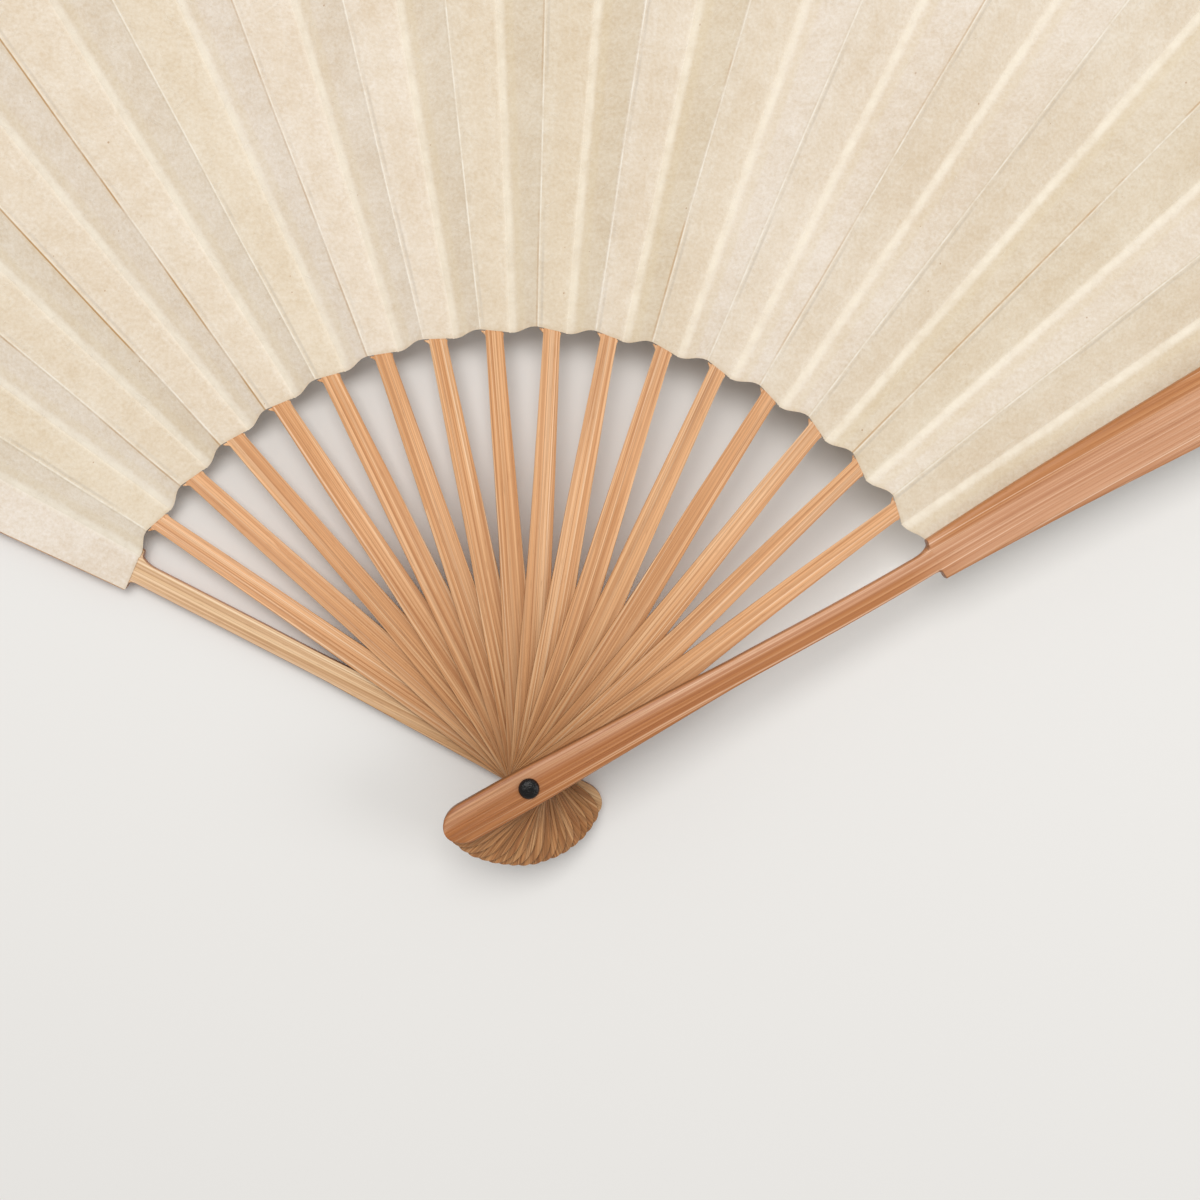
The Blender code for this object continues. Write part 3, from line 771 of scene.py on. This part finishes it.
class Nodes:
    """A material's shader, the nodes that feed it, and the colour painted so far."""

    def __init__(self, name):
        self.material = bpy.data.materials.new(name)
        self.material.use_nodes = True
        self.tree = self.material.node_tree
        self.colour = None

    def feed(self, node, inputs):
        """Links a node's sockets, or sets their values where numbers or colours are given."""
        for key, value in inputs.items():
            socket = node.inputs[key]
            if isinstance(value, bpy.types.NodeSocket):
                self.tree.links.new(value, socket)
            elif socket.type == "RGBA":
                socket.default_value = (*value, 1.0)
            else:
                socket.default_value = value

    def node(self, kind, inputs, **settings):
        made = self.tree.nodes.new("ShaderNode" + kind)
        for key, value in settings.items():
            setattr(made, key, value)
        self.feed(made, inputs)
        return made

    def finished(self, inputs):
        """The material, once the shader has its colour and its other inputs."""
        self.feed(self.tree.nodes["Principled BSDF"], {"Base Color": self.colour, **inputs})
        return self.material

    def value(self, name):
        """A float value that the mesh carries."""
        return self.node("Attribute", {}, attribute_name=name).outputs["Fac"]

    def scaled(self, vector, scale, place=(0.0, 0.0), turn=0.0):
        """A vector in waves per metre along, across and through, after a turn where one is given."""
        if turn:
            vector = self.node("Mapping", {"Vector": vector, "Rotation": (0.0, 0.0, turn)}).outputs[0]
        return self.node("Mapping", {"Vector": vector, "Location": (*place, 0.0), "Scale": scale}).outputs[0]

    def grain(self, scale, place=(0.0, 0.0), turn=0.0):
        """The piece's flat grain map, in waves per metre along and across."""
        source = self.node("UVMap", {}, uv_map="grain").outputs["UV"]
        return self.scaled(source, (*scale, 1.0), place, turn)

    def noise(self, vector, detail, roughness=0.55, distortion=0.0):
        inputs = {"Vector": vector, "Scale": 1.0, "Detail": detail, "Roughness": roughness,
                  "Distortion": distortion}
        return self.node("TexNoise", inputs).outputs[0]

    def clouds(self, scale, place, *look, turn=0.0):
        """Noise on the grain map; look is its detail, roughness and distortion."""
        return self.noise(self.grain(scale, place, turn), *look)

    def cells(self, vector, **settings):
        return self.node("TexVoronoi", {"Vector": vector, "Scale": 1.0}, **settings).outputs

    def chances(self, cells):
        """Three chance values for each cell, with crisp borders between the cells."""
        return self.node("SeparateColor", {0: cells["Color"]}).outputs

    def maths(self, operation, *values):
        return self.node("Math", dict(enumerate(values)), operation=operation).outputs[0]

    def times(self, first, second):
        return self.maths("MULTIPLY", first, second)

    def total(self, *parts, base=0.0):
        """Sum of (value, share) parts and a base."""
        for value, share in parts:
            base = self.maths("MULTIPLY_ADD", value, share, base)
        return base

    def between(self, value, low, high, start=0.0, end=1.0):
        """Smooth step of a value from start to end as it goes from low to high."""
        inputs = {"Value": value, "From Min": low, "From Max": high, "To Min": start, "To Max": end}
        return self.node("MapRange", inputs, interpolation_type="SMOOTHSTEP").outputs[0]

    def band(self, value, middle, inner, outer):
        """One where a value is within inner of the middle, falling to nothing at outer."""
        apart = self.maths("ABSOLUTE", self.maths("SUBTRACT", value, middle))
        return self.between(apart, inner, outer, 1.0, 0.0)

    def ramp(self, value, stops):
        made = self.node("ValToRGB", {0: value})
        elements = made.color_ramp.elements
        for element, (position, colour) in zip(elements, (stops[0], stops[-1])):
            element.position, element.color = position, (*colour, 1.0)
        for position, colour in stops[1:-1]:
            elements.new(position).color = (*colour, 1.0)
        return made.outputs[0]

    def mix(self, factor, first, second, mode="MIX"):
        inputs = {0: factor, 6: first, 7: second}
        return self.node("Mix", inputs, data_type="RGBA", blend_type=mode).outputs[2]

    def paint(self, colour, *shares, mode="MIX"):
        """Lays a colour over what is painted so far, by the product of its shares."""
        factor = shares[0]
        for share in shares[1:]:
            factor = self.times(factor, share)
        self.colour = self.mix(factor, self.colour, colour, mode)

    def bump(self, height, distance, strength, under=None):
        inputs = {"Height": height, "Distance": distance, "Strength": strength}
        if under is not None:
            inputs["Normal"] = under
        return self.node("Bump", inputs).outputs[0]


def drifting_fibre(tree):
    """The stick's fibre places, with a slow sideways drift, so that no fibre runs quite straight."""
    fibre = tree.node("Attribute", {}, attribute_name="fibre").outputs["Vector"]
    inputs = {"Vector": tree.scaled(fibre, (13, 110, 110)), "Scale": 1, "Detail": 1}
    slow = tree.node("TexNoise", inputs).outputs["Color"]
    inputs = {0: slow, 1: (0, 0.0006, 0.0004), 2: fibre}
    return tree.node("VectorMath", inputs, operation="MULTIPLY_ADD").outputs["Vector"]


def bamboo_material(name, colours, vessel, shine, edge_colour, patina_and_shade, lines, roughness, coat,
                    raw_colours=None, painted_sheen_colours=None):
    """Bamboo: strands along the stick, dark vessels and pores, paler inner wood, worn edges, darkening
    towards the head that is partly age and partly painted shade, painted shade in crease lines on the head
    and along edges near the rivet, and a painted sheen band on the guards.
    """
    tree = Nodes(name)
    fibre = drifting_fibre(tree)

    def streaks(scale, place, *look):
        return tree.noise(tree.scaled(fibre, scale, place), *look)

    def strands(scale, place):
        return tree.chances(tree.cells(tree.scaled(fibre, scale, place)))[0]

    def wood_ramp(four_colours):
        return tree.ramp(wood, list(zip(WOOD_PLACES, four_colours)))

    broad = streaks((7, 330, 330), (0, 0), 3)
    streak = streaks((12, 1300, 900), (3.1, 7.7), 3, 0.6)
    fine = streaks((40, 3300, 3300), (9.2, 1.4), 1, 0.6)
    cloud = streaks((34, 120, 120), (2, 5), 4, 0.6)
    thick_strands = strands((9, 1450, 800), (0, 0))
    thin_strands = strands((16, 2700, 1500), (5, 3))
    seams = tree.cells(tree.scaled(fibre, (7, 1350, 700), (4, 8)), feature="DISTANCE_TO_EDGE")
    seams = tree.between(seams["Distance"], 0.04, 0.17, 1, 0)
    wood = tree.total((broad, 0.24), (streak, 0.20), (fine, 0.06), (cloud, 0.08), (thick_strands, 0.22),
                      (thin_strands, 0.20))
    tree.colour = wood_ramp(colours)
    across, along, inner, edge = (tree.value(key) for key in ("across", "along", "inner", "edge"))
    # Painted sheen: a paler pinkish band across the outer face for the polish's reflection, high on the neck
    # and lower on the broad part.
    if painted_sheen_colours:
        place = tree.total((tree.maths("SUBTRACT", broad, 0.5), 0.55), base=across)
        sheen_on_neck = tree.times(tree.between(place, 0.02, 0.42), tree.between(place, 0.80, 1, 1, 0.4))
        sheen_on_wide = tree.times(tree.between(place, 0.30, 0.66, 1, 0),
                             tree.between(place, -1, -0.75, 0.25, 1))
        sheen_widening = tree.maths("SUBTRACT", sheen_on_wide, sheen_on_neck)
        sheen_band = tree.total((sheen_widening, tree.between(along, 0.100, 0.122)), base=sheen_on_neck)
        tree.paint(wood_ramp(painted_sheen_colours), sheen_band, 0.95)
    if raw_colours:
        tree.paint(wood_ramp(raw_colours), inner)
    light_lines = tree.between(streaks((4, 1900, 1300), (21, 3), 2), 0.59, 0.66)
    tree.paint(shine, light_lines, 0.60)
    dark_lines = tree.between(streaks((3.5, 2300, 1500), (11, 33), 2), 0.59, 0.66)
    dark_lines = tree.maths("MAXIMUM", dark_lines, tree.times(seams, 0.62))
    tree.paint(vessel, dark_lines, tree.total((inner, 0.30), base=lines))
    pores = tree.between(streaks((230, 3900, 3900), (1, 2), 1), 0.66, 0.76)
    tree.paint(vessel, pores, 0.30)
    specks = tree.between(streaks((230, 620, 620), (41, 12), 1), 0.82, 0.86)
    tree.paint((0.07, 0.03, 0.015), specks, 0.8)
    own_tone = tree.mix(tree.value("tone"), (0.93, 0.88, 0.80), (1.02, 1.02, 1.02))
    tree.paint(own_tone, 1, mode="MULTIPLY")
    tree.paint(edge_colour, tree.between(edge, 0.35, 1), tree.between(streak, 0.3, 0.7, 0.35, 0.7))
    tree.paint((0.23, 0.105, 0.048), tree.value("end"), 0.75)
    # Darker towards the head: part aged colour, part painted shade where the stacked heads overlap.
    tree.paint(patina_and_shade, tree.between(along, -0.018, 0.085, 1, 0),
               tree.between(cloud, 0.2, 0.8, 0.65, 0.95), mode="MULTIPLY")
    # Dark crease lines on the head: real relief, and painted darker as shade between the stacked heads.
    head_creases_and_shade = streaks((70, 1500, 1100), (7, 5), 2, 0.6, 0.35)
    on_head = tree.between(along, -0.009, 0.010, 1, 0)
    head_creases_and_shade = tree.times(tree.between(head_creases_and_shade, 0.40, 0.58, 1, 0), on_head)
    tree.paint((0.19, 0.072, 0.017), head_creases_and_shade, lines)
    # Painted shade along the edges from the head out along the neck, as in the gaps between the overlapping
    # ribs.
    gap_shade = tree.between(along, 0.030, 0.095, 0.80, 0)
    tree.paint((0.16, 0.062, 0.017), tree.between(edge, 0.7, 1), gap_shade)
    relief = tree.total((thin_strands, 0.35), (streak, 0.5), (fine, 0.2),
                        (tree.maths("ADD", pores, dark_lines), -0.25), (head_creases_and_shade, -1.6 * lines))
    return tree.finished({
        "Roughness": tree.total((fine, 0.16), (cloud, 0.14), base=roughness - 0.15),
        "Coat Weight": coat, "Coat Roughness": 0.30, "Specular IOR Level": 0.42,
        "Normal": tree.bump(relief, 0.00013, 0.8)})


def paper_material():
    """Soft handmade paper: faintly clouded cream, loose fibres, warm flecks, painted highlights and shade
    along the folds, and old stains.
    """
    tree = Nodes("fan_paper")
    cloud = tree.clouds((24, 24), (0, 0), 4, 0.55, 0.3)
    mottle = tree.clouds((240, 240), (5, 1), 4, 0.65)
    pulp = tree.clouds((1150, 1150), (3, 6), 3, 0.6)
    tooth = tree.clouds((2600, 2600), (1, 8), 3, 0.6)
    # Patchy noise that breaks up the painted fold highlights and the stains.
    worn = tree.clouds((180, 180), (7, 2), 3, 0.7)
    patchy = tree.clouds((30, 30), (17, 22), 3, 0.6)
    crest, valley = tree.value("crest"), tree.value("valley")
    shade = tree.total((cloud, 0.32), (mottle, 0.30), (pulp, 0.38))
    tree.colour = tree.ramp(shade, [
        (0.39, (0.680, 0.562, 0.415)), (0.50, (0.745, 0.643, 0.507)), (0.61, (0.805, 0.718, 0.595))])
    own_tone = tree.mix(tree.value("tone"), (0.950, 0.944, 0.922), (1.035, 1.055, 1.14))
    tree.paint(own_tone, 1, mode="MULTIPLY")
    threads = 0
    for turn, place in ((0.5, 3), (-0.9, 11), (1.9, 27), (2.6, 44)):
        laid = tree.clouds((150, 2300), (place, place * 2), 2, 0.5, 0.25, turn=turn)
        threads = tree.maths("MAXIMUM", threads, tree.between(laid, 0.66, 0.74))
    tree.paint((0.86, 0.80, 0.69), threads, 0.28)
    flecks = tree.cells(tree.grain((520, 410), (2, 9), 0.4))
    chance = tree.chances(flecks)
    beyond = tree.maths("SUBTRACT", flecks["Distance"], tree.total((chance[1], 0.10), (pulp, 0.06)))
    dots = tree.times(tree.between(beyond, -0.04, 0.01, 1, 0), tree.between(chance[0], 0.86, 0.98))
    tree.paint((0.38, 0.20, 0.09), dots, 0.65)
    tree.paint((0.66, 0.50, 0.31), tree.value("tongue"), 0.10)
    # Along a valley: a painted highlight band, and a yellower band of painted shade beside it
    tree.paint((0.885, 0.815, 0.690), tree.band(valley, -0.0005, 0.0002, 0.0019),
               tree.between(worn, 0.3, 0.7, 0.45, 0.9))
    tree.paint((0.74, 0.62, 0.41), tree.band(valley, -0.0030, 0.0004, 0.0018), 0.22)
    # Along a crest: a thin grey line of painted shadow, a painted highlight on the edge, and old stains with
    # a halo
    tree.paint((0.47, 0.41, 0.34), tree.band(crest, 0.0009, 0.0001, 0.0005),
               tree.between(patchy, 0.4, 0.6, 0, 0.35))
    tree.paint((0.885, 0.835, 0.745), tree.band(crest, 0.0001, 0.00005, 0.0003),
               tree.between(worn, 0.35, 0.65, 0.2, 0.75))
    stain = tree.times(tree.value("stain"), tree.between(patchy, 0.40, 0.54))
    stain = tree.times(stain, tree.between(worn, 0.25, 0.50, 0.55, 1))
    tree.paint((0.46, 0.235, 0.080), stain, tree.band(crest, -0.0003, 0.00010, 0.00030))
    tree.paint((0.70, 0.52, 0.30), stain, tree.band(crest, -0.0004, 0.0002, 0.0013), 0.30)
    tree.paint((0.58, 0.43, 0.27), tree.between(tree.value("inside"), 0, 0.0012, 1, 0), 0.30)
    cockle = tree.bump(tree.total((mottle, 0.25), base=cloud), 0.0016, 0.35)
    relief = tree.total((tooth, 0.35), (threads, 0.30), (pulp, 0.6),
                        (tree.band(crest, 0, 0.00005, 0.0006), 0.6))
    return tree.finished({
        "Roughness": tree.between(tooth, 0.3, 0.7, 0.80, 0.94), "Specular IOR Level": 0.25,
        "Sheen Weight": 0.06, "Normal": tree.bump(relief, 0.00013, 0.8, cockle)})


def horn_material():
    """Polished black horn: a trace of brown towards its thin rim, hairline scratches and finger marks."""
    tree = Nodes("rivet_black_horn")
    cloud = tree.clouds((500, 900), (0, 0), 4, 0.6, 0.8)
    tree.colour = tree.ramp(cloud, [
        (0.35, (0.003, 0.003, 0.003)), (0.60, (0.005, 0.004, 0.004)), (0.80, (0.016, 0.008, 0.005))])
    apart = tree.node("VectorMath", {0: tree.grain((1, 1))}, operation="LENGTH").outputs["Value"]
    tree.paint((0.022, 0.006, 0.004), tree.between(apart, 0.0019, 0.0026))
    marks = tree.clouds((900, 900), (3, 3), 4, 0.7)
    scratches = tree.clouds((300, 9000), (0, 0), 2, turn=0.7)
    dents = tree.clouds((1100, 1500), (6, 4), 3, 0.6)
    return tree.finished({
        "Roughness": tree.between(marks, 0.35, 0.75, 0.02, 0.16), "Specular IOR Level": 0.30,
        "Normal": tree.bump(tree.total((scratches, 0.10), base=dents), 0.00024, 1)})


def make_floor():
    """Plain pale floor, just under the rivet's rear head."""
    tree = Nodes("floor_pale")
    tree.colour = (0.80, 0.79, 0.775)
    mesh = bpy.data.meshes.new("floor")
    corners = [(x * FLOOR_REACH, y * FLOOR_REACH, FLOOR_LEVEL)
               for x, y in ((-1, -1), (1, -1), (1, 1), (-1, 1))]
    mesh.from_pydata(corners, [], [(0, 1, 2, 3)])
    mesh.materials.append(tree.finished({"Roughness": 0.9, "Specular IOR Level": 0.1}))
    floor = add_object("floor", mesh)


def add_lamp(name, place, aim, size, power, colour=(1.0, 1.0, 1.0)):
    light = bpy.data.lights.new(name, "AREA")
    light.shape = "RECTANGLE"
    light.size, light.size_y = size
    light.energy = power
    light.color = colour
    add_object(name, light, place, (Vector(aim) - Vector(place)).to_track_quat("-Z", "Y").to_euler())


def light_scene():
    scene = bpy.context.scene
    world = bpy.data.worlds.new("studio")
    world.use_nodes = True
    scene.world = world
    background = world.node_tree.nodes["Background"]
    background.inputs["Color"].default_value = (1.0, 0.99, 0.97, 1.0)
    background.inputs["Strength"].default_value = 0.52
    add_lamp("softbox_over", (-0.16, 0.48, 1.00), (0.0, 0.12, 0.0), (0.75, 0.55), 6.5, (1.0, 0.985, 0.96))
    add_lamp("softbox_side", (0.85, -0.10, 0.60), (0.0, 0.10, 0.0), (0.5, 0.5), 2.4, (0.97, 0.985, 1.0))
    scene.view_settings.view_transform = "Standard"


def place_camera():
    """Camera found from the photograph: from above, tilted a few degrees towards the rivet."""
    camera = bpy.data.cameras.new("camera")
    camera.sensor_fit = "HORIZONTAL"
    camera.sensor_width = 36.0
    camera.lens = 45.0
    camera.clip_start = 0.01
    camera.clip_end = 50.0
    place, turn = (-0.00864, 0.07209, 0.37364), (-0.078298, -0.073862, -0.005735)
    bpy.context.scene.camera = add_object("camera", camera, place, turn)


def main():
    rib_bamboo = bamboo_material(
        "rib_bamboo_aged",
        colours=[(0.55, 0.250, 0.098), (0.72, 0.372, 0.170), (0.81, 0.462, 0.238), (0.89, 0.590, 0.360)],
        vessel=(0.38, 0.150, 0.050), shine=(0.93, 0.68, 0.47), edge_colour=(0.78, 0.46, 0.23),
        patina_and_shade=(0.52, 0.41, 0.24), lines=0.55, roughness=0.50, coat=0.06)
    guard_bamboo = bamboo_material(
        "guard_bamboo_polished",
        colours=[(0.40, 0.145, 0.042), (0.47, 0.186, 0.058), (0.53, 0.224, 0.079), (0.62, 0.300, 0.130)],
        vessel=(0.36, 0.135, 0.045), shine=(0.90, 0.64, 0.47), edge_colour=(0.44, 0.165, 0.045),
        patina_and_shade=(0.74, 0.61, 0.44), lines=0.22, roughness=0.42, coat=0.14,
        raw_colours=[(0.58, 0.355, 0.180), (0.75, 0.505, 0.290), (0.83, 0.590, 0.365), (0.92, 0.730, 0.510)],
        painted_sheen_colours=[(0.51, 0.232, 0.116), (0.59, 0.292, 0.158), (0.66, 0.354, 0.208), (0.76, 0.470, 0.312)])
    paper = paper_material()
    make_guard(BACK_GUARD, guard_bamboo)
    make_guard(FRONT_GUARD, guard_bamboo)
    for number in range(1, RIB_COUNT + 1):
        make_rib(number, rib_bamboo)
    make_leaf(paper)
    make_rivet(horn_material())
    make_floor()
    light_scene()
    place_camera()


main()
